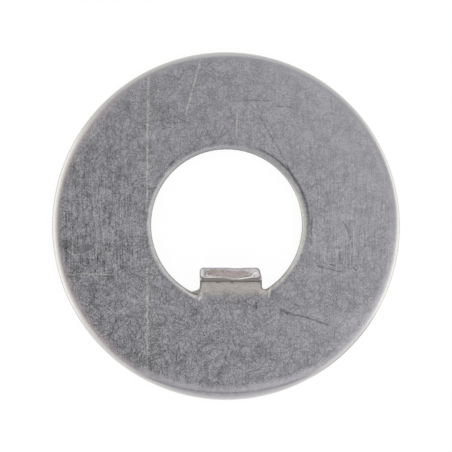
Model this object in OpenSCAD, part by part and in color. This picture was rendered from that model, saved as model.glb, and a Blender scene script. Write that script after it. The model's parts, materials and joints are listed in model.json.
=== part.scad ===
// Internal tab lock washer: a flat stamped ring with one tab, bent up square
// from the edge of the bore, that drops into the keyway of a threaded shaft.
// It lies on its lower face, with the bore on the Z axis and the tab towards -Y.

/* [Ring] */
// Outside diameter of the ring
ring_d = 28; // [24:0.5:40]
// Diameter of the bore
bore_d = 12.15; // [10:0.05:16]
// Thickness of the sheet
sheet_t = 0.95; // [0.7:0.05:1.5]

/* [Edges] */
// Radius rolled onto the upper edge of the rim
rim_roll_r = 0.45; // [0.1:0.05:0.6]
// Radius rolled onto the upper edge of the bore
bore_roll_r = 0.4; // [0.1:0.05:0.6]
// Radius that tumbling leaves on the ring's lower edges
lower_edge_r = 0.2; // [0.05:0.05:0.4]

/* [Tab] */
// Width of the tab
tab_w = 5; // [3.5:0.1:6.5]
// Distance of the tab's middle to the right of the bore's centre line
tab_shift = 0.39; // [-0.8:0.01:0.8]
// Flat length of the tab between the bore wall and the bend
tab_root_l = 0.32; // [0.1:0.02:1.2]
// Inside radius of the bend
bend_r = 1.45; // [0.6:0.05:2]
// Straight length of the tab above the bend
tab_straight_l = 1.6; // [1:0.1:5]
// Corner radius of the tab's end, seen from the bore
tab_corner_r = 0.5; // [0.1:0.05:1]
// Radius along the long edges of the tab
tab_edge_r = 0.28; // [0.05:0.01:0.4]
// Radius on the bore side of the tab's end face
tab_end_r = 0.25; // [0.05:0.01:0.4]

/* [Tab root] */
// Radius of the inner corner to the left of the tab
left_root_r = 0.6; // [0.2:0.05:0.8]
// Radius of the inner corner to the right of the tab
right_root_r = 0.3; // [0.2:0.05:0.8]

/* [Hidden] */
$fn = 96;

ring_r = ring_d / 2;
bore_r = bore_d / 2;

// Share of the sheet's thickness that one edge radius may take up
wall_share = 0.48;
wall_limit = wall_share * sheet_t;
rim_roll = min(rim_roll_r, wall_limit);
bore_roll = min(bore_roll_r, wall_limit);
lower_edge = min(lower_edge_r, wall_limit);
tab_edge = min(tab_edge_r, wall_limit);
tab_end = min(tab_end_r, wall_limit);
tab_corner = min(tab_corner_r, tab_straight_l / 2, tab_w / 4);

// Line across the tab where its bend starts, and height of the bend's axis
bend_y = tab_root_l - bore_r;
bend_z = sheet_t + bend_r;
bend_angle = 90;

// Length of the tab's root, and of each corner fillet, inside the ring
root_lap = 1.2;

// Depth by which a fillet's two ends run into the bore wall and the tab
root_bite = 0.01;

// Distance that cutting shapes stand clear of what they cut
clear = 1;

// Waste outside a convex corner of radius r, whose centre is at the origin
module corner_waste(r) {
    difference() {
        square(r + clear);
        circle(r);
    }
}

// Waste at one end of a sheet section: the end at x, facing side (1 or -1)
module end_waste(x, side, upper_r, lower_r) {
    translate([x, 0])
        mirror([side < 0 ? 1 : 0, 0]) {
            translate([-upper_r, sheet_t - upper_r])
                corner_waste(upper_r);
            translate([-lower_r, lower_r])
                mirror([0, 1])
                    corner_waste(lower_r);
        }
}

// Section through the ring, from the bore wall to the rim
module ring_section() {
    difference() {
        translate([bore_r, 0])
            square([ring_r - bore_r, sheet_t]);
        end_waste(bore_r, -1, bore_roll, lower_edge);
        end_waste(ring_r, 1, rim_roll, lower_edge);
    }
}

// Section through a fillet of radius r, with the bore's rolled edge
module root_section(r) {
    difference() {
        translate([r, 0])
            square([root_lap, sheet_t]);
        end_waste(r, -1, bore_roll, lower_edge);
    }
}

// Section across the tab, with the sheet's lower face on the X axis
module tab_section() {
    difference() {
        translate([-tab_w / 2, 0])
            square([tab_w, sheet_t]);
        for (side = [-1, 1])
            end_waste(side * tab_w / 2, side, tab_edge, tab_edge);
    }
}

module ring() {
    rotate_extrude()
        ring_section();
}

// Waste below the outside of the bend, right across the bore
module under_bend_waste() {
    translate([0, bend_y, bend_z])
        rotate([90, 0, 90])
            linear_extrude(bore_d, center = true)
                mirror([0, 1])
                    corner_waste(bend_z);
}

// Fillet of radius r between the bore wall and one side of the tab (1 or -1):
// the bore's rolled edge runs round it, and the bend lifts its lower face
module root_fillet(side, r) {
    centre_x = tab_w / 2 + side * tab_shift + r - root_bite;
    centre_y = -sqrt(pow(bore_r - r + root_bite, 2) - pow(centre_x, 2));
    sweep = 180 - atan2(-centre_y, centre_x);
    difference() {
        mirror([side < 0 ? 1 : 0, 0, 0])
            translate([centre_x, centre_y, 0])
                rotate([0, 0, 180])
                    rotate_extrude(angle = sweep)
                        root_section(r);
        under_bend_waste();
    }
}

// Flat root of the tab, from inside the ring to the bend
module tab_root() {
    rotate([90, 0, 0])
        linear_extrude(tab_root_l + root_lap)
            tab_section();
}

// Quarter turn that stands the tab up
module tab_bend() {
    translate([0, 0, bend_z])
        rotate([0, 90, 0])
            rotate_extrude(angle = bend_angle)
                translate([bend_z, 0])
                    rotate(90)
                        tab_section();
}

// Straight end of the tab: its bore side is on the XZ plane
module tab_straight() {
    difference() {
        linear_extrude(tab_straight_l)
            mirror([0, 1])
                tab_section();
        for (side = [0, 1])
            mirror([side, 0, 0])
                translate([tab_w / 2 - tab_corner, 0, tab_straight_l - tab_corner])
                    rotate([90, 0, 0])
                        linear_extrude(2 * (sheet_t + clear), center = true)
                            corner_waste(tab_corner);
        translate([0, -tab_end, tab_straight_l - tab_end])
            rotate([90, 0, 90])
                linear_extrude(tab_w + 2 * clear, center = true)
                    corner_waste(tab_end);
    }
}

module tab_washer() {
    color("silver") {
        ring();
        root_fillet(-1, left_root_r);
        root_fillet(1, right_root_r);
        translate([tab_shift, bend_y, 0]) {
            tab_root();
            tab_bend();
            translate([0, bend_z, bend_z])
                tab_straight();
        }
    }
}

tab_washer();
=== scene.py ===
# %% [markdown]
# # A tab lock washer
# The washer is stamped from sheet steel about 1 mm thick. A press cuts the rim and the bore
# and leaves a tab standing in the bore, a second tool bends the tab up, and the finished
# washers are tumbled in a barrel until their edges are smooth. This lesson models it the same
# way: a ring, a bend, a sheared end, then the satin finish that the barrel leaves.

# %% Load the frame
import json
import math

import bmesh
import bpy
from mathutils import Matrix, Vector
from mathutils.geometry import interpolate_bezier


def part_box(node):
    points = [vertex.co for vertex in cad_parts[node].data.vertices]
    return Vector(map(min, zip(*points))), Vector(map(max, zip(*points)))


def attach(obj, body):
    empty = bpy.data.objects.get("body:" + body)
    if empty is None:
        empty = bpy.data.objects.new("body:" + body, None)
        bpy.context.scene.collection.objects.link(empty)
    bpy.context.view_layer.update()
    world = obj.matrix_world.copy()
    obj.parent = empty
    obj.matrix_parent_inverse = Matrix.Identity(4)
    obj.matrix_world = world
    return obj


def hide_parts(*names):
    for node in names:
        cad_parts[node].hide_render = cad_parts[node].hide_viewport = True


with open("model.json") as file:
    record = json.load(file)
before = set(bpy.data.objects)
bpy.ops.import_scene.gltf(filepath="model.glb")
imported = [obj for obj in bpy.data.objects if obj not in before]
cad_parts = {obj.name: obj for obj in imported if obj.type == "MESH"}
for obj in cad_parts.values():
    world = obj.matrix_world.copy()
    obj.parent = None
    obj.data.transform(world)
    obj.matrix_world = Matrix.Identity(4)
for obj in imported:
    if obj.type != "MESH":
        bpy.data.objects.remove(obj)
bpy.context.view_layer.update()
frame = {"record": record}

# %% [markdown]
# ## Sizes
# The frame gives the sizes that it knows: the rim's radius, the height of the tab and the
# thickness of the sheet. The others are the stamping's own and are written here once.
# Small parts are easier to model in millimetres, because Blender's tools weld points
# that lie very close together. The finished mesh is brought to metres at the end.

# %% Sizes of the stamping, in millimetres
MM = 0.001
_, high_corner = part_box("tab_washer")
mounts = {mount["name"]: mount for mount in frame["record"]["mounts"]}

ring_radius = high_corner.x / MM
tab_top = high_corner.z / MM
sheet = mounts["upper_face"]["pos_m"][2] / MM

bore_radius = 6.075
rim_roll = 0.78
bore_roll = 0.42
lower_edge = 0.30

tab_width = 5.0
tab_middle = 0.35
tab_edge = 0.28
tab_corner = 0.50
tab_end_roll = 0.25
tab_lean = math.radians(4.6)
ramp_radius = 1.70
ramp_slope = math.radians(45)
tight_radius = 0.20
bend_inset = 0.285
bend_start = bend_inset - bore_radius
bore_shift = Vector((0.042, 0.091, 0))
print(f"ring {2 * ring_radius:.2f} mm, sheet {sheet:.2f} mm, tab {tab_top:.2f} mm high")

# %% [markdown]
# ## Helpers for edit mode
# An operator works on whatever is selected, so each step first says what to select, by its
# place. One helper selects corners, edges or faces that pass a test, another starts a new piece
# from a flat plane, which is the cut face of the sheet, and the rest round it, open it and weld.

# %% Selecting and starting a piece
NEARLY = 0.01
LONG_EDGE = 1
WELD_DISTANCE = 0.0005


def select_where(kind, test):
    """Selects what passes the test, of the mesh in edit mode: verts, edges or faces."""
    bpy.ops.mesh.select_mode(type={"verts": "VERT", "edges": "EDGE", "faces": "FACE"}[kind])
    bpy.ops.mesh.select_all(action="DESELECT")
    mesh = bmesh.from_edit_mesh(bpy.context.object.data)
    chosen = 0
    for item in getattr(mesh, kind):
        if test(item):
            item.select_set(True)
            chosen += 1
    mesh.select_flush_mode()
    bmesh.update_edit_mesh(bpy.context.object.data)
    return chosen


def middle(item):
    """The middle of an edge or a face."""
    total = Vector((0, 0, 0))
    for corner in item.verts:
        total += corner.co
    return total / len(item.verts)


def cut_face(name, centre, width, depth, turn):
    """A new plane turned about X, left in edit mode: a section through the sheet."""
    bpy.ops.object.select_all(action="DESELECT")
    bpy.ops.mesh.primitive_plane_add(size=1, location=centre, rotation=(turn, 0, 0))
    piece = bpy.context.object
    piece.name = name
    piece.scale = (width, depth, 1)
    bpy.ops.object.transform_apply(location=True, rotation=True, scale=True)
    bpy.ops.object.mode_set(mode="EDIT")
    return piece


def round_corner(test, roll, segments):
    """Rounds the corner points of a section that pass the test."""
    select_where("verts", lambda vert: test(vert.co))
    bpy.ops.mesh.bevel(offset=roll, segments=segments, profile=0.5, affect="VERTICES")


def open_section(cuts):
    """Leaves only the outline of a section, with its long straight edges cut into pieces."""
    bpy.ops.mesh.select_all(action="SELECT")
    bpy.ops.mesh.delete(type="ONLY_FACE")
    select_where("edges", lambda edge: edge.calc_length() > LONG_EDGE)
    bpy.ops.mesh.subdivide(number_cuts=cuts)
    bpy.ops.mesh.select_all(action="SELECT")


def weld():
    """Joins the points that lie on one another, and leaves all selected."""
    bpy.ops.mesh.select_all(action="SELECT")
    bpy.ops.mesh.remove_doubles(threshold=WELD_DISTANCE)


# %% [markdown]
# ## The ring
# A press drags the metal down where it starts to cut, so the upper edges roll over in a long,
# flat curve and the lower ones stay fairly sharp. The ring could be a flat disc with bevelled
# edges, but its section is easier to control: draw it once, round each corner and spin it
# round the axis. A bevel makes round corners, and these are wider than they are deep, so the
# section is drawn too thick at first and flattened to the sheet once its corners are round.

# %% Section of the ring
ROLL_STEPS = 10
FACE_STEPS = 14
RING_STEPS = 360
ROLL_FLATTENING = 2.4

half_way = (bore_radius + ring_radius) / 2
thick = sheet * ROLL_FLATTENING
ring = cut_face(
    "tab_washer_skin",
    (half_way, 0, thick / 2),
    ring_radius - bore_radius,
    thick,
    math.pi / 2,
)
round_corner(lambda co: co.z > thick / 2 and co.x > half_way, rim_roll, ROLL_STEPS)
round_corner(lambda co: co.z > thick / 2 and co.x < bore_radius + NEARLY, bore_roll, ROLL_STEPS)
round_corner(lambda co: co.z < NEARLY, lower_edge, ROLL_STEPS)
bpy.ops.mesh.select_all(action="SELECT")
bpy.ops.transform.resize(value=(1, 1, 1 / ROLL_FLATTENING), center_override=(0, 0, 0))
print(f"rim rolls over {rim_roll:.2f} mm wide and {rim_roll / ROLL_FLATTENING:.2f} mm deep")

# %% [markdown]
# The flat edges are cut into short pieces before the spin. They hold the flat faces flat,
# where a single long face would be shaded as if it were slightly domed.

# %% Spin the section into a ring
open_section(FACE_STEPS - 1)
bpy.ops.mesh.spin(steps=RING_STEPS, angle=2 * math.pi, center=(0, 0, 0), axis=(0, 0, 1))
weld()
bpy.ops.object.mode_set(mode="OBJECT")
print("ring:", len(ring.data.vertices), "points", len(ring.data.polygons), "faces")

# %% [markdown]
# ## Room for the tab
# The tab grows out of the bore's edge. A boolean would leave a hard seam there, so the rolled
# edge is opened instead, over the angle that the tab and its two corner fillets take up, and
# the tab is bridged into the opening later. The left corner is the wider one.

# %% Open the bore's edge where the tab leaves it
LEFT_ROOT_ANGLE = 28
RIGHT_ROOT_ANGLE = 33
TAB_COLUMNS = (LEFT_ROOT_ANGLE + RIGHT_ROOT_ANGLE) * RING_STEPS // 360


def angle_from_tab(co):
    """Degrees round the bore from straight below it, growing to the right."""
    return math.degrees(math.atan2(co.x, -co.y))


def in_tab_opening(face):
    """Whether a face belongs to the part of the bore's edge that the tab replaces."""
    centre = middle(face)
    in_edge = math.hypot(centre.x, centre.y) < bore_radius + bore_roll
    return in_edge and -LEFT_ROOT_ANGLE < angle_from_tab(centre) < RIGHT_ROOT_ANGLE


bpy.ops.object.mode_set(mode="EDIT")
opened = select_where("faces", in_tab_opening)
bpy.ops.mesh.delete(type="FACE")
bpy.ops.object.mode_set(mode="OBJECT")
print("opened", opened, "faces for", TAB_COLUMNS, "columns of the tab")

# %% [markdown]
# ## The tab
# The tab is the same sheet, so it starts from its own section too, with as many points along
# each side as the opening has. It is easier to build the tab upright first, tilt it to its real
# lean and then sweep its foot down round the bend, than to work on a leaning end.

# %% Section of the upright tab
ramp_axis = Vector((tab_middle, bend_start, sheet + ramp_radius))
to_ramp_end = Vector((0, math.sin(ramp_slope), -math.cos(ramp_slope)))
tight_axis = ramp_axis + (ramp_radius - tight_radius) * to_ramp_end
bend_height = tight_axis.z
outer_face = tight_axis.y + tight_radius
stem_rise = tab_top - bend_height + tight_radius * math.sin(tab_lean)
upright_top = bend_height + stem_rise / math.cos(tab_lean)

tab = cut_face("tab_stem", (tab_middle, outer_face + sheet / 2, bend_height), tab_width, sheet, 0)
round_corner(lambda co: True, tab_edge, ROLL_STEPS)
open_section(TAB_COLUMNS - 1)
print(f"the tab is {upright_top - bend_height:.2f} mm long above its bend")

# %% [markdown]
# ## The sheared end
# Seen from above, the end of the tab is the most telling part of the washer: the cut through
# the sheet. Its form is written as the outline that the tab has at each height. The right side
# leans in a little. At the end the two corners and the edge on the bore side roll over, but the
# edge on the outer face stays almost sharp, because that is where the press tore the metal.

# %% Outline of the tab at each height
end_taper = 0.08
end_thinning = 0.12
torn_edge = 0.05
side_slant = 0.11


def rolled_in(level, roll):
    """How far an edge with this roll has come inwards at a level near the tab's end."""
    above = max(0, level - (upright_top - roll))
    return roll - math.sqrt(max(0, roll**2 - above**2))


def tab_outline(level):
    """Left and right side, outer and bore face of the upright tab at a level."""
    share = (level - bend_height) / (upright_top - bend_height)
    corner = rolled_in(level, tab_corner)
    return {
        "left": tab_middle - tab_width / 2 + corner,
        "right": tab_middle + tab_width / 2 - corner - share * end_taper,
        "outer": outer_face + rolled_in(level, torn_edge) + share**2 * end_thinning,
        "inner": outer_face + sheet - rolled_in(level, tab_end_roll),
    }


end_outline = tab_outline(upright_top)
print(f"the end is {end_outline['right'] - end_outline['left']:.2f} mm wide at its very top")

# %% [markdown]
# A bevel can't round three edges by different amounts and keep the rows of points even. So the
# tab is drawn out ring by ring, and each new ring is scaled to the outline at its own height.
# Towards the end the rings crowd together, where the corners turn fastest.

# %% Draw the tab out and round its end
STRAIGHT_STEPS = 6
END_STEPS = 12
straight_end = upright_top - tab_corner


def draw_out(lift, before, after):
    """Extrudes the selected ring and fits it from one outline to the next."""
    middle_before = Vector((before["left"] + before["right"], before["outer"] + before["inner"])) / 2
    middle_after = Vector((after["left"] + after["right"], after["outer"] + after["inner"])) / 2
    shift = middle_after - middle_before
    bpy.ops.mesh.extrude_region_move(TRANSFORM_OT_translate={"value": (shift.x, shift.y, lift)})
    width_share = (after["right"] - after["left"]) / (before["right"] - before["left"])
    depth_share = (after["inner"] - after["outer"]) / (before["inner"] - before["outer"])
    bpy.ops.transform.resize(
        value=(width_share, depth_share, 1),
        center_override=(middle_after.x, middle_after.y, 0),
    )


levels = [bend_height]
for step in range(1, STRAIGHT_STEPS + 1):
    levels.append(bend_height + (straight_end - bend_height) * step / STRAIGHT_STEPS)
for step in range(1, END_STEPS + 1):
    levels.append(straight_end + tab_corner * math.sin(math.pi / 2 * step / END_STEPS))
for level_before, level in zip(levels, levels[1:]):
    draw_out(level - level_before, tab_outline(level_before), tab_outline(level))
print("drew the tab out in", len(levels) - 1, "steps")

# %% [markdown]
# The end is closed by smaller and smaller rings, down to a line along its middle. The rings
# follow the outline, as the bands of a sheared edge do: a burnished rim, then the rough grey
# patch where the metal broke. The half of the tab on the bore side is a little narrower, so its
# right side slants.

# %% Close the end
CAP_RINGS = 7
CAP_INSET = 0.05

end_middle_y = (end_outline["outer"] + end_outline["inner"]) / 2
half_depth = (end_outline["inner"] - end_outline["outer"]) / 2
outline_before = end_outline
for ring_number in range(1, CAP_RINGS + 1):
    open_share = 1 - ring_number / CAP_RINGS
    outline = {
        "left": end_outline["left"] + CAP_INSET * ring_number,
        "right": end_outline["right"] - CAP_INSET * ring_number,
        "outer": end_middle_y - half_depth * open_share,
        "inner": end_middle_y + half_depth * open_share,
    }
    draw_out(0, outline_before, outline)
    outline_before = outline
weld()

select_where("verts", lambda vert: vert.co.y > end_middle_y + NEARLY)
bpy.ops.transform.resize(
    value=(1 - side_slant / tab_width, 1, 1),
    center_override=(tab_middle - tab_width / 2, 0, 0),
)
print("closed the end with", CAP_RINGS, "rings")

# %% [markdown]
# The patch is pushed in a little and its points are scattered up and down. Along the outer edge
# a burr is drawn out with proportional editing, so that the points beside its peak follow it.

# %% Roughen the patch and draw out the burr
PATCH_LEFT = -1.67
PATCH_RIGHT = 2.07
PATCH_SETBACK = 0.02
PATCH_SHARE = 0.8
PATCH_DEPTH = 0.03
PATCH_ROUGHNESS = 0.012
PATCH_SEED = 4
BURR_PLACE = 0.82
BURR_PEAK = 0.05
BURR_REACH = 0.13
BURR_SPREAD = 1.3

patch_middle = Vector(((PATCH_LEFT + PATCH_RIGHT) / 2, end_middle_y - PATCH_SETBACK))


def in_broken_patch(vert):
    """Whether a point of the end lies in the lens-shaped patch."""
    sideways = (vert.co.x - patch_middle.x) / ((PATCH_RIGHT - PATCH_LEFT) / 2)
    inwards = (vert.co.y - patch_middle.y) / (PATCH_SHARE * half_depth)
    return vert.co.z > upright_top - NEARLY and sideways**2 + inwards**2 < 1


def on_burr(vert):
    """Whether a point lies on the torn edge where the burr stands out most."""
    on_end = vert.co.z > upright_top - torn_edge
    on_torn_edge = vert.co.y < end_outline["outer"] + NEARLY
    return on_end and on_torn_edge and abs(vert.co.x - BURR_PLACE) < BURR_PEAK


roughened = select_where("verts", in_broken_patch)
bpy.ops.transform.translate(value=(0, 0, -PATCH_DEPTH))
bpy.ops.transform.vertex_random(offset=PATCH_ROUGHNESS, uniform=0, normal=1, seed=PATCH_SEED)
select_where("verts", on_burr)
bpy.ops.transform.translate(
    value=(0, -BURR_REACH, 0),
    use_proportional_edit=True,
    proportional_edit_falloff="SMOOTH",
    proportional_size=BURR_SPREAD,
)
print(roughened, "points in the broken patch")

# %% [markdown]
# ## The bend
# The tool that bends the tab has a narrow nose, so the bend is tight under the tab and then
# runs out into the ring in a long ramp. First the tab tilts to its lean. Then its foot sweeps
# down round the tight bend, and on round the ramp until it is nearly flat. Without a window
# the rotate and the spin operators turn clockwise along their axis, as these turns go.

# %% Tilt the tab and sweep its foot round the bend
BEND_BEGUN = math.radians(27)
TIGHT_STEPS = 10
RAMP_STEPS = 10

bpy.ops.mesh.select_all(action="SELECT")
bpy.ops.transform.rotate(value=tab_lean, orient_axis="X", center_override=tight_axis)
select_where("edges", lambda edge: edge.is_boundary)
bpy.ops.mesh.spin(
    steps=TIGHT_STEPS,
    angle=math.pi / 2 - tab_lean - ramp_slope,
    center=tight_axis,
    axis=(1, 0, 0),
)
bpy.ops.mesh.spin(
    steps=RAMP_STEPS,
    angle=ramp_slope - BEND_BEGUN,
    center=ramp_axis,
    axis=(1, 0, 0),
)
bpy.ops.object.mode_set(mode="OBJECT")
tab_heights = [vert.co.z for vert in tab.data.vertices]
print(f"tab: {len(tab_heights)} points from {min(tab_heights):.3f} to {max(tab_heights):.3f} mm")

# %% [markdown]
# ## The root
# Ring and tab now have open edges with the same number of points, so a bridge joins them point
# by point. A boolean or a merge by hand would need the rolled edge drawn again at the seam; the
# bridge carries it over from the ring to the tab by itself.

# %% Bridge the tab into the ring
ROOT_STEPS = 14

bpy.ops.object.select_all(action="DESELECT")
tab.select_set(True)
ring.select_set(True)
bpy.context.view_layer.objects.active = ring
bpy.ops.object.join()
bpy.ops.object.mode_set(mode="EDIT")

bridged = select_where("edges", lambda edge: edge.is_boundary)
bpy.ops.mesh.bridge_edge_loops(number_cuts=ROOT_STEPS, interpolation="LINEAR")
print("bridged", bridged, "open edges")

# %% [markdown]
# A plain bridge runs straight, and the real corner is a fillet, so the points of each line are
# now laid along a curve. It leaves the ring along the bore's edge at the two corners and
# straight inwards between them, and it reaches the tab along the bend. In the left corner the
# sheet tore rather than bent: its lower half stands out as a small, straight ledge.

# %% Directions in the root
CORNER_SPREAD = 10
LEDGE_TURN = 45
LEFT_PULL_BELOW = 0.75
LEFT_PULL_ABOVE = 1.0
RIGHT_PULL_ABOVE = 0.5
along_bend = Vector((0, math.cos(BEND_BEGUN), math.sin(BEND_BEGUN)))


def leaving_ring(co):
    """Direction in which the root leaves the ring: along its edge at the corners, else inwards."""
    angle = angle_from_tab(co)
    to_corner = min(angle + LEFT_ROOT_ANGLE, RIGHT_ROOT_ANGLE - angle) / CORNER_SPREAD
    to_corner = min(max(to_corner, 0), 1)
    inwards = to_corner**2 * (3 - 2 * to_corner)
    turn = math.copysign(90 + abs(angle), angle)
    if angle < 0:
        turn += LEDGE_TURN * (1 - co.z / sheet)
    turn = math.radians(turn * (1 - inwards))
    return Vector((-math.sin(turn), math.cos(turn), 0))


def corner_pull(co):
    """How much further than a round fillet the root runs into its corner."""
    left_share = min(max(-angle_from_tab(co) / LEFT_ROOT_ANGLE, 0), 1) ** 3
    depth_share = co.z / sheet
    left_pull = LEFT_PULL_BELOW + (LEFT_PULL_ABOVE - LEFT_PULL_BELOW) * depth_share
    right_pull = RIGHT_PULL_ABOVE * depth_share
    return left_share * left_pull + (1 - left_share) * right_pull


print(f"the root meets the tab at a slope of {math.degrees(BEND_BEGUN):.0f} degrees")

# %% [markdown]
# The bridge's edges run from point to point, so a line is found by walking: from a point of the
# ring always on over the edge that shares no face with the last one, until the tab is reached.

# %% Lay each line of the bridge along a curve
FULL_PULL_TURN = math.radians(110)
SMALL_TURN = 0.01
SLACK = 0.001


def line_to_tab(vert, edge):
    """The points of the bridge from one point of the ring to the tab."""
    line = [vert]
    while len(line) < ROOT_STEPS + 2:
        vert = edge.other_vert(vert)
        line.append(vert)
        passed = set(edge.link_faces)
        ahead = [other for other in vert.link_edges if not passed & set(other.link_faces)]
        edge = ahead[0]
    return line


def lay_along_curve(line):
    """Moves the points between the two ends of a line onto a smooth curve.

    The handles have the length at which the curve follows a round arc, and more in a corner.
    """
    start = line[0].co
    end = line[-1].co
    leave = leaving_ring(start)
    turn = max(leave.angle(along_bend), SMALL_TURN)
    reach = (end - start).length * (4 / 3) * math.tan(turn / 4) / (2 * math.sin(turn / 2))
    reach *= 1 + corner_pull(start) * min(turn / FULL_PULL_TURN, 1)
    curve = interpolate_bezier(start, start + leave * reach, end - along_bend * reach, end, len(line))
    for vert, spot in zip(line[1:-1], curve[1:-1]):
        vert.co = (spot.x, spot.y, max(spot.z, 0))


mesh = bmesh.from_edit_mesh(ring.data)
bridge_faces = {face for face in mesh.faces if face.select}
eased = 0
for vert in list(mesh.verts):
    inside_bore = math.hypot(vert.co.x, vert.co.y) < bore_radius - SLACK
    faces_here = set(vert.link_faces)
    if inside_bore or vert.co.z > sheet + SLACK:
        continue
    if not bridge_faces & faces_here or bridge_faces >= faces_here:
        continue
    for edge in vert.link_edges:
        if bridge_faces >= set(edge.link_faces):
            lay_along_curve(line_to_tab(vert, edge))
            eased += 1
bmesh.update_edit_mesh(ring.data)
weld()
bpy.ops.mesh.normals_make_consistent(inside=False)
bpy.ops.object.mode_set(mode="OBJECT")
print("eased", eased, "lines of the root")

# %% [markdown]
# The bore was punched a little off the middle of the ring, by about a tenth of a millimetre, up
# and to the right. Proportional editing moves its edge and the tab as one, and fades the move
# out over the flat face, so that the rim stays round.

# %% Shift the bore
SHIFT_SPREAD = 5

bpy.ops.object.mode_set(mode="EDIT")
edge_reach = bore_radius + bore_roll + NEARLY
shifted = select_where("verts", lambda vert: math.hypot(vert.co.x, vert.co.y) < edge_reach)
bpy.ops.transform.translate(
    value=bore_shift,
    use_proportional_edit=True,
    proportional_edit_falloff="SMOOTH",
    proportional_size=SHIFT_SPREAD,
)
bpy.ops.object.mode_set(mode="OBJECT")
print("shifted", shifted, "points of the bore and the tab")

# %% [markdown]
# ## The finished mesh
# The model is now brought to metres. Applying the scale leaves the object at the origin,
# unturned and unscaled, so the finish can be laid out by the object's own coordinates. Smooth
# shading by angle keeps the torn edge crisp and makes every rolled edge look round.

# %% Bring the washer to metres
CRISP_ANGLE = math.radians(40)

washer = ring
washer.scale = (MM, MM, MM)
bpy.ops.object.select_all(action="DESELECT")
washer.select_set(True)
bpy.context.view_layer.objects.active = washer
bpy.ops.object.transform_apply(location=False, rotation=False, scale=True)
bpy.ops.object.shade_smooth_by_angle(angle=CRISP_ANGLE)
print("washer:", len(washer.data.polygons), "faces, size", tuple(washer.dimensions))

# %% [markdown]
# ## Shader maths as Python
# A finish is a graph of nodes, and most of them only add, multiply and compare. Placing them
# by hand hides the idea behind boxes and wires. The class below wraps one output of a node, so
# that a sum or a product of two values adds the Math node for it. Every other node comes from
# its one method, which takes the kind of node, its settings and what goes into its sockets.


# %% Shader values that can be added and multiplied
class Value:
    """One output of a shader node. Arithmetic on it adds Math nodes to the tree at work."""

    tree = None

    def __init__(self, socket):
        self.socket = socket

    @classmethod
    def node(cls, kind, settings=None, sockets=None, output=0):
        """Adds a node: its settings first, then the values or links of its sockets."""
        made = cls.tree.nodes.new(kind)
        for name, setting in (settings or {}).items():
            setattr(made, name, setting)
        for name, given in (sockets or {}).items():
            if isinstance(given, Value):
                cls.tree.links.new(given.socket, made.inputs[name])
            else:
                made.inputs[name].default_value = given
        return cls(made.outputs[output])

    @classmethod
    def maths(cls, operation, *terms):
        """Adds a Math node for one operation on numbers or other values."""
        return cls.node("ShaderNodeMath", {"operation": operation}, dict(enumerate(terms)))

    def __add__(self, other):
        return self.maths("ADD", self, other)

    def __radd__(self, other):
        return self.maths("ADD", other, self)

    def __sub__(self, other):
        return self.maths("SUBTRACT", self, other)

    def __rsub__(self, other):
        return self.maths("SUBTRACT", other, self)

    def __mul__(self, other):
        return self.maths("MULTIPLY", self, other)

    def __rmul__(self, other):
        return self.maths("MULTIPLY", other, self)

    def __truediv__(self, other):
        return self.maths("DIVIDE", self, other)

    def __pow__(self, other):
        return self.maths("POWER", self, other)

    def __abs__(self):
        return self.maths("ABSOLUTE", self)


def rise(value, low, high):
    """0 below low, 1 above high and a soft step between them. It falls where low is higher."""
    return Value.node(
        "ShaderNodeMapRange",
        {"interpolation_type": "SMOOTHSTEP"},
        {"Value": value, "From Min": low, "From Max": high},
    )


def tint(mask, colour, over):
    """Lays a colour over another one where the mask is 1."""
    return Value.node(
        "ShaderNodeMix", {"data_type": "RGBA"}, {0: mask, 6: colour, 7: over}, output=2
    )


def grey_of(red, green, blue):
    """A colour as it looks on screen, 0 to 255, as the linear numbers a shader takes.

    The numbers are those of the curve that screens follow, with its straight foot.
    """
    linear = []
    for part in (red, green, blue):
        share = part / 255
        linear.append(share / 12.92 if share <= 0.04045 else ((share + 0.055) / 1.055) ** 2.4)
    return (*linear, 1)


FACE_GREY = grey_of(143, 142, 146)
print("the face's grey in linear numbers:", [round(part, 3) for part in FACE_GREY])

# %% [markdown]
# ## Where on the washer
# The finish has zones: the dull face, the polished rims, the stretched bend and the broken end.
# They could be painted, but each lies at a known place, so the material finds them itself from
# the object's own coordinates, turned into millimetres, and from the distance to the axis.

# %% Coordinates on the washer
steel = bpy.data.materials.new("tumbled_steel")
steel.use_nodes = True
Value.tree = steel.node_tree

place_m = Value.node("ShaderNodeTexCoord", output="Object")
place = Value.node("ShaderNodeVectorMath", {"operation": "SCALE"}, {0: place_m, "Scale": 1 / MM})
across = Value.node("ShaderNodeSeparateXYZ", sockets={0: place}, output="X")
along = Value.node("ShaderNodeSeparateXYZ", sockets={0: place}, output="Y")
height = Value.node("ShaderNodeSeparateXYZ", sockets={0: place}, output="Z")
radius = (across * across + along * along) ** 0.5
bearing = Value.maths("ARCTAN2", along, across) * (180 / math.pi)
bore_across = across - bore_shift.x
bore_along = along - bore_shift.y
from_bore = (bore_across * bore_across + bore_along * bore_along) ** 0.5 - bore_radius
print("coordinates made with", len(steel.node_tree.nodes), "nodes")

# %% [markdown]
# A zone is a soft step between two places in millimetres: two heights, two distances from the
# axis or the bore, or two lines across the face. Products of steps close a zone off on more
# sides, and noise makes the border of the bend uneven, as the tool left it.

# %% Zones of the finish
NOISE_AVERAGE = 0.5
LEFT_HIGHLIGHT_RADIUS = 13.66
BORE_HIGHLIGHT_PLACE = 0.2
LEDGE_LEFT = 2.4
LEDGE_BELOW = 5.3
BEND_UNEVENNESS = 0.8
UPPER_RIGHT_WEAR = 0.09
LEFT_WEAR = 0.14

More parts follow.
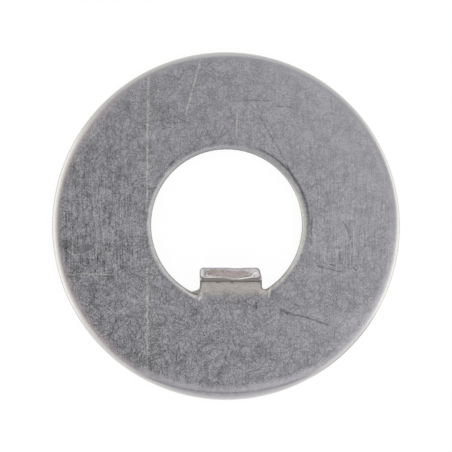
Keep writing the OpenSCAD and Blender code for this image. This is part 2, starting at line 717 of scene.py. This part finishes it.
upper_face = rise(height, sheet - 0.2, sheet - 0.1)
uneven = Value.node("ShaderNodeTexNoise", sockets={"Vector": place, "Scale": 1.6}) - NOISE_AVERAGE
beside_tab = abs(bore_across - tab_middle)
near_tab = rise(beside_tab, tab_width / 2 + 0.4, tab_width / 2) * rise(along, -2, -3)
bend_zone = near_tab * rise(along + BEND_UNEVENNESS * uneven, -5.95, -5.05)
upper_right = rise(across + along, 11, 19)
lower_right = rise(across - along, 18.8, 19.7)
left_side = rise(across, -9, -12)
roll_place = radius - UPPER_RIGHT_WEAR * upper_right + LEFT_WEAR * left_side
outer_roll = rise(roll_place, ring_radius - 0.45, ring_radius - 0.2)
# painted highlight along the outermost edge of the rim
painted_rim_edge_light = rise(radius, ring_radius - 0.14, ring_radius - 0.03)
# painted highlight: a light band on the rolled rim at the left, where the left soft box shows in it
painted_left_highlight = rise(abs(radius - LEFT_HIGHLIGHT_RADIUS), 0.12, 0.03) * left_side
bore_edge = rise(from_bore, 0.44, 0.22) * (1 - near_tab)
# painted shade on the steepest part of the bore's edge
painted_bore_lip_shade = rise(from_bore, 0.15, 0.05) * rise(along, 5, -1) * (1 - near_tab)
# painted highlight in the middle of the bore's rolled edge, at its right
painted_bore_highlight = rise(abs(from_bore - BORE_HIGHLIGHT_PLACE), 0.16, 0.04)
painted_bore_highlight = painted_bore_highlight * rise(bore_across, 3.5, 5.5) * rise(along, 3, 0)
# painted shade on the ledge in the left corner of the root
root_ledge_shade = rise(height, sheet - 0.12, sheet - 0.3) * rise(abs(across + LEDGE_LEFT), 0.8, 0.5)
root_ledge_shade = root_ledge_shade * rise(abs(along + LEDGE_BELOW), 1.0, 0.5)
tab_end = rise(height, tab_top - 0.35, tab_top - 0.2)
tab_stem = rise(height, tab_top - 1.6, tab_top - 0.6)
tab_wall = rise(height, sheet + 0.6, sheet + 1.2) * (1 - tab_end)
side_place = beside_tab + side_slant * rise(along, -4.5, -3.6)
tab_sides = tab_stem * rise(side_place, tab_width / 2 - 0.14, tab_width / 2 - 0.04)
print("with the zones:", len(steel.node_tree.nodes), "nodes")

# %% [markdown]
# ## What the barrel leaves
# In the tumbling barrel the washers knock against small stones. The face ends up dull and
# evenly speckled, with short hairlines in every direction, and the rolling marks of the sheet
# show clearly only at the two sides. Each of these is a noise pattern of its own size: nearly
# round for the speckle, and stretched along a line for hairlines and rolling marks.

# %% Speckle, mottling and rolling marks
SHIFT_WAY = (1, 0.7, 1.3)


def pattern(size, turn=0, shift=0, detail=2.0, wander=None):
    """Noise with features of a size in mm along its own axes, turned about the washer's axis.

    A shift takes another part of the noise, so that no two patterns are alike.
    """
    where = Value.node(
        "ShaderNodeMapping",
        {"vector_type": "TEXTURE"},
        {
            "Vector": wander or place,
            "Location": [shift * way for way in SHIFT_WAY],
            "Rotation": (0, 0, math.radians(turn)),
            "Scale": size,
        },
    )
    return Value.node(
        "ShaderNodeTexNoise",
        sockets={"Vector": where, "Scale": 1.0, "Detail": detail, "Roughness": 0.55},
    )


def swing(size, **options):
    """The same noise as a swing to both sides of zero."""
    return pattern(size, **options) - NOISE_AVERAGE


speckle = swing((0.1, 0.12, 0.115), shift=3, detail=1.5)
mottle = swing((1.1, 1.1, 1.1), shift=11, detail=3)
clouding = swing((5, 5, 5), shift=23, detail=1)
rolling_marks = swing((0.072, 1.8, 0.5), shift=31, detail=2)
sparks = rise(pattern((0.17, 0.17, 0.17), shift=71, detail=1), 0.68, 0.80)
print("with the grain:", len(steel.node_tree.nodes), "nodes")

# %% [markdown]
# A hairline is where a stretched noise rises high, and its coordinates are moved about first, so
# that it isn't dead straight. A curl is a thin line where a round noise passes through its
# average, and a second noise breaks it up into short pieces.

# %% Hairlines and curls
HAIRLINE_TURNS = (8, 33, 59, 84, 110, 137, 163)
HAIRLINE_SIZE = (1.3, 0.10, 0.5)
HAIRLINE_SHIFTS = range(40, 100, 9)
CURL_SIZES = (0.9, 1.5)
CURL_TURN = 20
CURL_SHIFTS = (80, 87)
BREAK_SHIFTS = (95, 102)


def moved_about(fineness, reach):
    """Places moved about by noise: how fine the noise is, and how far it moves them in mm."""
    noise = Value.node(
        "ShaderNodeTexNoise",
        sockets={"Vector": place, "Scale": fineness, "Detail": 1.0},
        output="Color",
    )
    return Value.node(
        "ShaderNodeVectorMath",
        {"operation": "MULTIPLY_ADD"},
        {0: noise, 1: (reach, reach, 0), 2: place},
    )


wandering = moved_about(0.55, 1.6)
hairlines = 0
for turn, shift in zip(HAIRLINE_TURNS, HAIRLINE_SHIFTS):
    hair = pattern(HAIRLINE_SIZE, turn, shift, detail=0.5, wander=wandering)
    hairlines = rise(hair, 0.61, 0.68) + hairlines
curls = 0
for size, shift, break_shift in zip(CURL_SIZES, CURL_SHIFTS, BREAK_SHIFTS):
    waves = swing((size, size, size), turn=CURL_TURN, shift=shift, detail=1.0)
    broken_up = rise(pattern((size, size, size), shift=break_shift, detail=1.0), 0.48, 0.58)
    curls = rise(abs(waves), 0.05, 0.012) * broken_up + curls
print("hairlines run", len(HAIRLINE_TURNS), "ways, and", len(CURL_SIZES), "sizes of curls")

# %% [markdown]
# ## Marks of this one washer
# Some marks are too plain to leave to chance: a pale line right down the left side, a slanted
# one beside it, a dark scratch below the bore and a smudge at the left. A line is a stroke from
# one point to another, and the smudge is an oval. A Mapping node lays each on its own axes, so
# that the mask only has to ask how far along it and how far beside it a point lies.

# %% Strokes and ovals
shaky = moved_about(2.2, 0.2)


def own_axes(start, end, width, vector=place):
    """Distance along and beside a line between two points, as shares of its half sizes."""
    middle_x = (start[0] + end[0]) / 2
    middle_y = (start[1] + end[1]) / 2
    length = math.dist(start, end)
    turn = math.atan2(end[1] - start[1], end[0] - start[0])
    where = Value.node(
        "ShaderNodeMapping",
        {"vector_type": "TEXTURE"},
        {
            "Vector": vector,
            "Location": (middle_x, middle_y, 0),
            "Rotation": (0, 0, turn),
            "Scale": (length / 2, width / 2, 1),
        },
    )
    lengthwise = Value.node("ShaderNodeSeparateXYZ", sockets={0: where}, output="X")
    sideways = Value.node("ShaderNodeSeparateXYZ", sockets={0: where}, output="Y")
    return lengthwise, sideways


def stroke(start, end, width, vector=place):
    """A mask that is 1 on a line between two points in mm, and fades at its ends and sides."""
    lengthwise, sideways = own_axes(start, end, width, vector)
    return rise(abs(lengthwise), 1.05, 0.75) * rise(abs(sideways), 1.2, 0.2)


def strokes(places, vector=place):
    """A mask of several strokes, each given by its two ends and its width."""
    mask = 0
    for start, end, width in places:
        mask = stroke(start, end, width, vector) + mask
    return mask


def oval(start, end, width):
    """0 in the middle of an oval, 1 on its outline and more outside it."""
    lengthwise, sideways = own_axes(start, end, width)
    return lengthwise * lengthwise + sideways * sideways


print("with the wavering coordinates:", len(steel.node_tree.nodes), "nodes")

# %% [markdown]
# Here are the marks themselves. The pale ones are straight. The dark ones are scratches, so
# they are laid out by the coordinates that waver a little.

# %% Places of the marks
PALE_STROKES = (
    ((-6.22, 12.6), (-6.34, 6.5), 0.24),
    ((-6.31, 7.0), (-6.36, 1.3), 0.22),
    ((-6.36, -2.7), (-6.34, -8.4), 0.24),
    ((-6.36, -7.9), (-6.33, -12.7), 0.22),
    ((-2.0, 13.5), (-3.3, 8.8), 0.2),
    ((-13.1, -3.86), (-9.5, -3.88), 0.18),
    ((-10.45, -1.6), (-10.46, -2.7), 0.14),
    ((-12.35, -1.2), (-12.38, -2.4), 0.14),
    ((-11.87, 5.6), (-11.86, 5.2), 0.18),
    ((-5.44, 11.1), (-5.44, 10.8), 0.18),
    ((-5.2, 9.3), (-4.9, 9.45), 0.18),
    ((0.87, 9.2), (0.86, 7.0), 0.18),
    ((3.1, 9.05), (3.15, 8.9), 0.3),
    ((9.15, -2.0), (9.35, -1.85), 0.2),
)
# painted highlights: two glints in the corners of the tab's root
GLINTS = (
    ((3.6, -4.8), (3.4, -5.75), 0.24),
    ((-1.82, -5.45), (-2.27, -5.98), 0.3),
)
DARK_STROKES = (
    ((4.45, -6.6), (5.25, -6.95), 0.36),
    ((4.9, -6.85), (6.8, -7.34), 0.19),
    ((6.5, -7.24), (8.5, -7.9), 0.14),
    ((2.75, 9.05), (4.1, 6.7), 0.09),
    ((4.05, 6.8), (5.0, 5.0), 0.10),
    ((4.95, 5.1), (5.75, 3.5), 0.13),
    ((-9.75, -3.94), (-8.85, -3.98), 0.11),
    ((0.4, 10.15), (3.9, 10.2), 0.07),
    ((4.0, 9.75), (5.7, 9.6), 0.08),
    ((-4.55, 4.95), (-4.0, 5.4), 0.22),
    ((-8.5, -1.58), (-7.05, -1.43), 0.10),
    ((7.25, -3.1), (9.5, -3.6), 0.12),
    ((8.4, -2.95), (8.9, -3.1), 0.16),
    ((10.25, -3.25), (10.7, -3.45), 0.16),
    ((10.22, -1.2), (10.2, -1.7), 0.14),
    ((3.6, -10.6), (4.2, -10.7), 0.16),
    ((2.5, -5.95), (2.52, -6.6), 0.14),
    ((-4.1, 9.0), (-3.1, 8.45), 0.10),
    ((6.98, 0.7), (6.93, -1.5), 0.16),
    ((9.4, 0.55), (9.85, -0.05), 0.11),
    ((9.8, 0.05), (10.2, -1.1), 0.1),
    ((-0.75, -4.43), (-0.25, -4.44), 0.14),
    ((0.45, -4.43), (0.72, -4.44), 0.14),
)
SMUDGE = ((-12.45, -2.05), (-10.62, -1.62), 0.72)
SMUDGE_UNEVENNESS = 0.8
SMUDGE_RIM = 1.35
WORN_PATCH = ((9.6, -8.7), (11.2, -6.6), 1.7)

pale_marks = strokes(PALE_STROKES)
dark_marks = strokes(DARK_STROKES, shaky)
glints = strokes(GLINTS)
smudge_outline = oval(*SMUDGE)
smudge = rise(smudge_outline + SMUDGE_UNEVENNESS * uneven, 1.15, 0.8)
smudge_rim = rise(abs(smudge_outline - SMUDGE_RIM), 0.35, 0) * rise(along, -1.6, -1.9)
worn_patch = rise(oval(*WORN_PATCH), 1.3, 0.4)
print(len(PALE_STROKES), "pale strokes and", len(DARK_STROKES), "dark ones")

# %% [markdown]
# The end of the tab has marks of its own: the broken patch is a lens that is rougher and
# browner than the rim around it, and along its lower edge the burr has a painted highlight.

# %% Marks on the end of the tab
BURR_HIGHLIGHT_LINE = (
    ((-1.72, -4.11), (-0.45, -4.17), 0.12),
    ((-0.55, -4.16), (0.86, -4.28), 0.12),
    ((0.78, -4.28), (2.10, -4.06), 0.12),
    ((2.06, -4.08), (2.24, -3.77), 0.12),
    ((2.18, -3.80), (2.48, -3.72), 0.12),
)
LENS_MIDDLE = 0.2
LENS_BELOW = 3.82
LENS_SLOPE = 0.055
LENS_HALF_LENGTH = 1.95
LENS_HALF_WIDTH = 0.33
LENS_UNEVENNESS = 2.2

# painted highlight along the burr
burr = Value.maths("MINIMUM", strokes(BURR_HIGHLIGHT_LINE), 1)
lens_along = (across - LENS_MIDDLE) / LENS_HALF_LENGTH
lens_across = (along + LENS_BELOW + LENS_SLOPE * across) / LENS_HALF_WIDTH
lens = lens_along**4 + lens_across * lens_across
broken = rise(lens + LENS_UNEVENNESS * uneven, 1.05, 0.75)
tearing = swing((0.35, 0.08, 0.3), shift=13, detail=2)
rust = rise(pattern((0.55, 0.2, 0.3), shift=57, detail=1), 0.48, 0.65)
print(len(BURR_HIGHLIGHT_LINE), "strokes along the burr")

# %% [markdown]
# Some marks follow the washer round. A faint shade lies beside the bore, and at the upper right
# a dark line runs in it. Along the lower rim lies a painted shade where a crease begins the
# rolled edge, and the rim itself has a shade that is used at the upper right.

# %% Arcs
ARC_FADE = 0.6
BORE_SHADE_PLACE = 0.55
BORE_ARC_PLACE = 0.56
CREASE_RADIUS = 13.43
CREASE_SPREAD = 0.16
CREASE_SWING = 20
RIM_SHADE_RADIUS = 13.62


def arc(distance, width, first, last):
    """A mask along part of a circle: the distance from it, its width in mm, its ends in degrees."""
    middle_angle = (first + last) / 2
    half_angle = (last - first) / 2
    beside = rise(abs(distance), width / 2, 0)
    return beside * rise(abs(bearing - middle_angle), half_angle, half_angle * ARC_FADE)


bore_shade = rise(abs(from_bore - BORE_SHADE_PLACE), 0.24, 0)
bore_dark_arc = arc(from_bore - BORE_ARC_PLACE, 0.30, -4, 74)
swung = (bearing + 90) / CREASE_SWING
# painted shade along the crease where the lower rim starts to roll
lower_crease_shade = arc(radius - CREASE_RADIUS - CREASE_SPREAD * swung * swung, 0.26, -130, -50)
rim_shade = rise(abs(radius - RIM_SHADE_RADIUS), 0.36, 0.08)
print("with the marks:", len(steel.node_tree.nodes), "nodes")

# %% [markdown]
# ## The colour
# Steel is a mirror with a colour of its own, so the material is metal all over. The base colour
# is what the surface sends back: a cool grey on the speckled face, lighter and warmer where
# edges are polished, and a brownish grey where the metal broke at the end of the tab.

# %% Greys of the zones and the marks
# Some of these greys are painted light: highlights along the left rim, the rim's outer edge, the
# bore's roll and the burr, and shades on the bore's lip, the root's ledge and the end's right corner.
# The tab's wall is painted lighter.
EDGE_ZONE_GREY = grey_of(162, 160, 165)
LEFT_ZONE_GREY = grey_of(176, 166, 169)
POLISHED_GREY = grey_of(187, 186, 185)
LEFT_HIGHLIGHT_GREY = grey_of(216, 208, 200)
RIM_EDGE_HIGHLIGHT_GREY = grey_of(212, 210, 205)
RIM_SHADE_GREY = grey_of(168, 166, 163)
BORE_GREY = grey_of(184, 182, 179)
BORE_LIP_SHADE_GREY = grey_of(156, 155, 153)
BORE_HIGHLIGHT_GREY = grey_of(202, 200, 195)
PAINTED_SHADE_GREY = grey_of(142, 141, 139)
BEND_GREY = grey_of(163, 158, 154)
END_GREY = grey_of(179, 176, 179)
WALL_PAINTED_LIGHT_GREY = grey_of(199, 194, 191)
SIDE_GREY = grey_of(214, 212, 210)
BROKEN_GREY = grey_of(154, 147, 145)
RUSTY_GREY = grey_of(160, 147, 147)
PAINTED_HIGHLIGHT_GREY = grey_of(218, 216, 212)
PALE_MARK = grey_of(180, 178, 173)
DARK_MARK = grey_of(92, 91, 96)
print("the darkest grey in linear numbers:", [round(part, 3) for part in DARK_MARK])

# %% [markdown]
# Not all of the face is equally dull. Towards the rim the speckle is worn, and on the bend and
# the rolled edges little of it is left. The value called dull says how much of it each place
# has, and the worn zone inside the rim is wider at the bottom of the washer.

# %% Worn zones and dullness
EDGE_WANDER = 0.6
BOTTOM_WIDENING = 0.4
PATCH_WEAR = 0.3
EDGE_POLISH = 0.65
BORE_POLISH = 0.6
BEND_POLISH = 0.55
ROLL_POLISH = 0.8
SMUDGE_POLISH = 0.4

lower_half = rise(along + 0.6 * across, 9, 2)
bottom = rise(along + 0.25 * abs(across - 1.5), -9, -12.5)
zone_place = radius + EDGE_WANDER * mottle + BOTTOM_WIDENING * bottom
edge_zone = rise(zone_place, ring_radius - 0.95, ring_radius - 0.3)
edge_zone = Value.maths("MAXIMUM", edge_zone, PATCH_WEAR * worn_patch)
dull = (1 - EDGE_POLISH * edge_zone) * (1 - BORE_POLISH * bore_edge) * (1 - BEND_POLISH * bend_zone)
dull = dull * (1 - ROLL_POLISH * outer_roll) * (1 - SMUDGE_POLISH * smudge)
side_marks = rise(abs(across), 4.5, 8.5) * rise(along, -3.95, -3.75) * rise(along, 7.5, 2)
print("with the dullness:", len(steel.node_tree.nodes), "nodes")

# %% [markdown]
# Each zone now lays its grey over the ones before it, first along the rim, then round the bore
# and up the tab. The shares say how strongly a zone covers: the worn zone is faint at the upper
# right, and at the left and at the top the bore's polished edge is held back as painted shade.

# %% Lay the zones over the face
ZONE_ABOVE = 0.15
ZONE_ABOVE_LEFT = 0.45
ZONE_LOSS_FAR_LEFT = 0.8
ROLL_LOSS_UPPER_RIGHT = 0.12
ROLL_LOSS_BOTTOM = 0.6
ROLL_LOSS_TOP = 0.1
LEFT_HIGHLIGHT_SHARE = 0.75
BORE_EDGE_SHADE_LEFT = 0.68
BORE_EDGE_SHADE_TOP = 0.75
END_CORNER_SHADE_SHARE = 0.25

zone_strength = Value.maths(
    "MAXIMUM", lower_half, ZONE_ABOVE + ZONE_ABOVE_LEFT * rise(across, -1, -6)
)
zone_strength = zone_strength * (1 - ZONE_LOSS_FAR_LEFT * rise(across, -12.8, -13.4))
zone_grey = tint(rise(across, -5, -10), EDGE_ZONE_GREY, LEFT_ZONE_GREY)
colour = tint(edge_zone * zone_strength, FACE_GREY, zone_grey)
roll_strength = 1 - ROLL_LOSS_UPPER_RIGHT * upper_right - ROLL_LOSS_BOTTOM * bottom
roll_strength = roll_strength - ROLL_LOSS_TOP * rise(along, 9, 13)
colour = tint(outer_roll * roll_strength, colour, POLISHED_GREY)
# painted highlight along the left rim
colour = tint(LEFT_HIGHLIGHT_SHARE * painted_left_highlight, colour, LEFT_HIGHLIGHT_GREY)
# painted highlight on the rim's outermost edge, with a painted shade in its place at the lower right
colour = tint(painted_rim_edge_light, colour, tint(lower_right, RIM_EDGE_HIGHLIGHT_GREY, RIM_SHADE_GREY))
# painted shade: the bore's polished grey is held back at the left and at the top
painted_bore_edge_shade = Value.maths(
    "MAXIMUM", BORE_EDGE_SHADE_LEFT * rise(across, -2, -5), BORE_EDGE_SHADE_TOP * rise(along, 2, 5)
)
colour = tint(bore_edge * (1 - painted_bore_edge_shade), colour, BORE_GREY)
# painted highlight on the bore's rolled edge
colour = tint(painted_bore_highlight, colour, BORE_HIGHLIGHT_GREY)
# painted shade on the bore's steep wall
colour = tint(painted_bore_lip_shade, colour, BORE_LIP_SHADE_GREY)
colour = tint(bend_zone, colour, BEND_GREY)
# painted shade on the root's ledge
colour = tint(root_ledge_shade, colour, PAINTED_SHADE_GREY)
colour = tint(tab_stem, colour, END_GREY)
# painted light: a lighter grey on the tab's wall than on its end, which lifts the dark band below the
# end
colour = tint(tab_wall, colour, WALL_PAINTED_LIGHT_GREY)
# painted shade on the right corner of the tab's end
colour = tint(END_CORNER_SHADE_SHARE * tab_end * rise(across, 1.9, 2.6), colour, PAINTED_SHADE_GREY)
colour = tint(tab_sides, colour, SIDE_GREY)
colour = tint(tab_end * broken, colour, tint(rust, BROKEN_GREY, RUSTY_GREY))
# painted highlight along the burr
colour = tint(tab_end * burr, colour, PAINTED_HIGHLIGHT_GREY)
print("with the zones' greys:", len(steel.node_tree.nodes), "nodes")

# %% [markdown]
# The marks come next. Those that are dark are added up first and laid on together, up to a full
# cover. Speckle runs through the scratches, so that they look worn rather than drawn.

# %% Lay the marks over the zones
PALE_SHARE = 0.6
SMUDGE_RIM_SHARE = 0.6
GLINT_SHARE = 0.6
SCRATCH_SHARE = 0.7
SCRATCH_SPECKLE = 2.5
CREASE_SHADE_SHARE = 0.4
SMUDGE_SHARE = 0.32
SMUDGE_END_SHARE = 0.2
BORE_ARC_SHARE = 0.75
BORE_ARC_MOTTLE = 1.2
BORE_ARC_SPECKLE = 2
BORE_SHADE_SHARE = 0.16
RIM_SHADE_SHARE = 0.22

marks_here = upper_face * (1 - tab_end)
pale_marks = Value.maths("MINIMUM", pale_marks + SMUDGE_RIM_SHARE * smudge_rim, 1)
colour = tint(PALE_SHARE * marks_here * pale_marks, colour, PALE_MARK)
# painted highlights: the glints at the tab's root
colour = tint(GLINT_SHARE * upper_face * glints, colour, PAINTED_HIGHLIGHT_GREY)
# the crease's share here is painted shade
darkened = dark_marks * (SCRATCH_SHARE + SCRATCH_SPECKLE * speckle) + CREASE_SHADE_SHARE * lower_crease_shade
darkened = darkened + smudge * (SMUDGE_SHARE + SMUDGE_END_SHARE * rise(across, -12, -11.1))
darkened = darkened + BORE_ARC_SHARE * bore_dark_arc * (1 + BORE_ARC_MOTTLE * mottle + BORE_ARC_SPECKLE * speckle)
darkened = darkened + BORE_SHADE_SHARE * bore_shade * (1 - near_tab)
darkened = darkened + RIM_SHADE_SHARE * upper_right * rim_shade
colour = tint(Value.maths("MINIMUM", marks_here * darkened, 1), colour, DARK_MARK)
print("with the marks' greys:", len(steel.node_tree.nodes), "nodes")

# %% [markdown]
# The grain goes in last, as a brightness by which the colour is multiplied. Where the face is
# dull it has its full effect, a little more of it towards the lower left. Hairlines and curls
# darken, and the broken patch has torn streaks of its own. The brightness also rises slowly
# from left to right, which is painted light.

# %% Grain
SPECKLE_SHARE = 1.25
MOTTLE_SHARE = 0.36
CLOUD_SHARE = 0.25
SPARK_SHARE = 0.35
ROLLING_SHARE = 0.35
SIDE_ROLLING_SHARE = 0.75
CURL_SHARE = 1.2
MOST_LINES = 1.3
LINE_SHARE = 0.22
TEARING_SHARE = 0.7
CONTRAST = 0.95
CONTRAST_FALL_RIGHT = 0.022
CONTRAST_FALL_UP = 0.015
PAINTED_LIGHT_RIGHTWARDS = 0.003

contrast = CONTRAST - CONTRAST_FALL_RIGHT * across - CONTRAST_FALL_UP * along
grain = SPECKLE_SHARE * speckle + MOTTLE_SHARE * mottle + CLOUD_SHARE * clouding + SPARK_SHARE * sparks
grain = grain + rolling_marks * (ROLLING_SHARE + SIDE_ROLLING_SHARE * side_marks)
lines = Value.maths("MINIMUM", hairlines + CURL_SHARE * curls, MOST_LINES)
# painted light: the colour brightens slowly from left to right
brightness = 1 + PAINTED_LIGHT_RIGHTWARDS * across
brightness = brightness * (1 + dull * contrast * (grain - LINE_SHARE * lines))
brightness = brightness * (1 + TEARING_SHARE * tab_end * tearing)
colour = Value.node("ShaderNodeVectorMath", {"operation": "SCALE"}, {0: colour, "Scale": brightness})
print("with the colour:", len(steel.node_tree.nodes), "nodes")

# %% [markdown]
# ## Gloss and relief
# The dull face scatters light widely, the polished edges far less. A little bump from the same
# speckle and hairlines lets the surface sparkle when the light moves, as tumbled steel does.

# %% Roughness and bump
FACE_ROUGHNESS = 0.46
ROLL_SMOOTHING = 0.16
BEND_SMOOTHING = 0.12
EDGE_SMOOTHING = 0.05
SPECKLE_ROUGHENING = 0.25
ROLLING_RELIEF = 0.6
HAIRLINE_RELIEF = 0.5
BUMP_STRENGTH = 0.25
BUMP_HEIGHT = 0.02

polished = Value.maths("MAXIMUM", outer_roll, bore_edge)
roughness = FACE_ROUGHNESS - ROLL_SMOOTHING * polished - BEND_SMOOTHING * bend_zone
roughness = roughness - EDGE_SMOOTHING * edge_zone + SPECKLE_ROUGHENING * dull * speckle
relief = speckle + ROLLING_RELIEF * rolling_marks * side_marks - HAIRLINE_RELIEF * hairlines
relief = relief * (1 - outer_roll) * (1 - bore_edge)
bump = Value.node(
    "ShaderNodeBump",
    sockets={"Strength": BUMP_STRENGTH, "Distance": BUMP_HEIGHT * MM, "Height": relief},
)
print("with gloss and relief:", len(steel.node_tree.nodes), "nodes")

# %% [markdown]
# The three results go into the shader, and the washer takes the material. It rides on the only
# body of the part and stands in for the CAD washer.

# %% Shader
shader = steel.node_tree.nodes["Principled BSDF"]
shader.inputs["Metallic"].default_value = 1.0
steel.node_tree.links.new(colour.socket, shader.inputs["Base Color"])
steel.node_tree.links.new(roughness.socket, shader.inputs["Roughness"])
steel.node_tree.links.new(bump.socket, shader.inputs["Normal"])
washer.data.materials.append(steel)
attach(washer, "root")
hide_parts("tab_washer")
print("finish:", len(steel.node_tree.nodes), "nodes")

# %% [markdown]
# ## Floor
# The washer lies on a white table. For the camera and in reflections the table is white, so it
# glows there at a strength of 1; a part of it stays an ordinary pale surface, which takes the
# washer's soft shadow.

# %% White table
TABLE_SIZE = 1.2
TABLE_PAINT = (0.86, 0.86, 0.86, 1)
GLOW_SHARE = 0.93

bpy.ops.object.select_all(action="DESELECT")
bpy.ops.mesh.primitive_plane_add(size=TABLE_SIZE)
floor = bpy.context.object
floor.name = "table"


def seen_directly():
    """1 for what the camera sees, straight or in a reflection or through glass."""
    camera_ray = Value.node("ShaderNodeLightPath", output="Is Camera Ray")
    glossy_ray = Value.node("ShaderNodeLightPath", output="Is Glossy Ray")
    clear_ray = Value.node("ShaderNodeLightPath", output="Is Transmission Ray")
    return Value.maths("MINIMUM", camera_ray + glossy_ray + clear_ray, 1)


table = bpy.data.materials.new("white_table")
table.use_nodes = True
table.node_tree.nodes.clear()
Value.tree = table.node_tree
paint = Value.node("ShaderNodeBsdfDiffuse", sockets={"Color": TABLE_PAINT})
glow = Value.node("ShaderNodeEmission", sockets={"Strength": 1.0})
glow_share = GLOW_SHARE * seen_directly()
lit = Value.node("ShaderNodeMixShader", sockets={0: glow_share, 1: paint, 2: glow})
table_output = table.node_tree.nodes.new("ShaderNodeOutputMaterial")
table.node_tree.links.new(lit.socket, table_output.inputs["Surface"])
floor.data.materials.append(table)
print("table:", tuple(floor.dimensions), "m")

# %% [markdown]
# ## Studio
# Metal shows what stands around it, so the light is set by its surroundings rather than by
# lamps alone. The world is a white tent: even all round, brighter in front and darker overhead,
# which keeps the flat face at its own grey.

# %% White tent
TENT_BRIGHTNESS = 1.05
OVERHEAD_DIMMING = 0.31
FRONT_BRIGHTENING = 0.2

world = bpy.data.worlds.new("studio")
bpy.context.scene.world = world
world.use_nodes = True
Value.tree = world.node_tree
direction = Value.node("ShaderNodeTexCoord", output="Generated")
upwards = Value.node("ShaderNodeSeparateXYZ", sockets={0: direction}, output="Z")
forwards = 0 - Value.node("ShaderNodeSeparateXYZ", sockets={0: direction}, output="Y")
tent_level = TENT_BRIGHTNESS - OVERHEAD_DIMMING * rise(upwards, 0.6, 0.95)
tent_level = tent_level + FRONT_BRIGHTENING * rise(forwards, 0.05, 0.6)
tent = world.node_tree.nodes["Background"]
tent.inputs["Color"].default_value = (1, 1, 1, 1)
world.node_tree.links.new(tent_level.socket, tent.inputs["Strength"])
print("tent made with", len(world.node_tree.nodes), "nodes")

# %% [markdown]
# Two soft boxes at the sides draw the bright lines along the left and right rim, and at the left
# a painted highlight adds to it. A broad panel hangs over the right half of the washer. It is so
# near that the left of the face sees less of it, and that gives the flat face its gentle fall of
# light from right to left, along with a slight brightening to the right that is painted into the
# colour.

# %% Soft boxes and panel
WARM_WHITE = (1, 0.96, 0.9)
WHITE = (1, 1, 1)
LAMP_HEIGHT = 0.07
BOX_DISTANCE = 0.16
BOX_SIZE = (0.20, 0.12)
PANEL_PLACE = (0.03, 0.028)
PANEL_SIZE = (0.06, 0.12)


def soft_box(name, location, aim, size, radiance, light):
    """A rectangular lamp that faces a point, given the brightness and colour of its light."""
    width, depth = size
    bpy.ops.object.light_add(type="AREA", location=location)
    lamp = bpy.context.object
    lamp.name = name
    lamp.data.shape = "RECTANGLE"
    lamp.data.size = width
    lamp.data.size_y = depth
    lamp.data.color = light
    lamp.data.energy = radiance * width * depth * math.pi
    lamp.visible_camera = False
    facing = Vector(aim) - Vector(location)
    lamp.rotation_euler = facing.to_track_quat("-Z", "Y").to_euler()
    print(f"{name}: {lamp.data.energy:.4f} W")


LEFT_BOX = (-BOX_DISTANCE, 0, LAMP_HEIGHT)
RIGHT_BOX = (BOX_DISTANCE, 0, LAMP_HEIGHT)
soft_box("left_box", LEFT_BOX, aim=(0, 0, 0), size=BOX_SIZE, radiance=0.88, light=WARM_WHITE)
soft_box("right_box", RIGHT_BOX, aim=(0, 0, 0), size=BOX_SIZE, radiance=0.65, light=WARM_WHITE)
soft_box(
    "panel",
    (*PANEL_PLACE, LAMP_HEIGHT),
    aim=(*PANEL_PLACE, 0),
    size=PANEL_SIZE,
    radiance=0.8,
    light=WHITE,
)

# %% [markdown]
# ## Camera
# The picture is taken from straight above with a long lens, so the raised tab hardly spreads.
# The camera's height follows from how many pixels the rim is wide in a picture of 452 pixels.

# %% Camera
IMAGE_PIXELS = 452
RIM_PIXELS = 348.1
LONG_LENS = 300
NEAREST_SEEN = 0.001

camera_data = bpy.data.cameras.new("camera")
camera = bpy.data.objects.new("camera", camera_data)
bpy.context.collection.objects.link(camera)
camera_data.lens = LONG_LENS
frame_width = 2 * ring_radius * MM * IMAGE_PIXELS / RIM_PIXELS
camera.location = (0, 0, sheet * MM + frame_width * camera_data.lens / camera_data.sensor_width)
camera_data.clip_start = NEAREST_SEEN
bpy.context.scene.camera = camera
bpy.context.scene.view_settings.view_transform = "Standard"
print(f"camera {camera.location.z:.3f} m above the table")
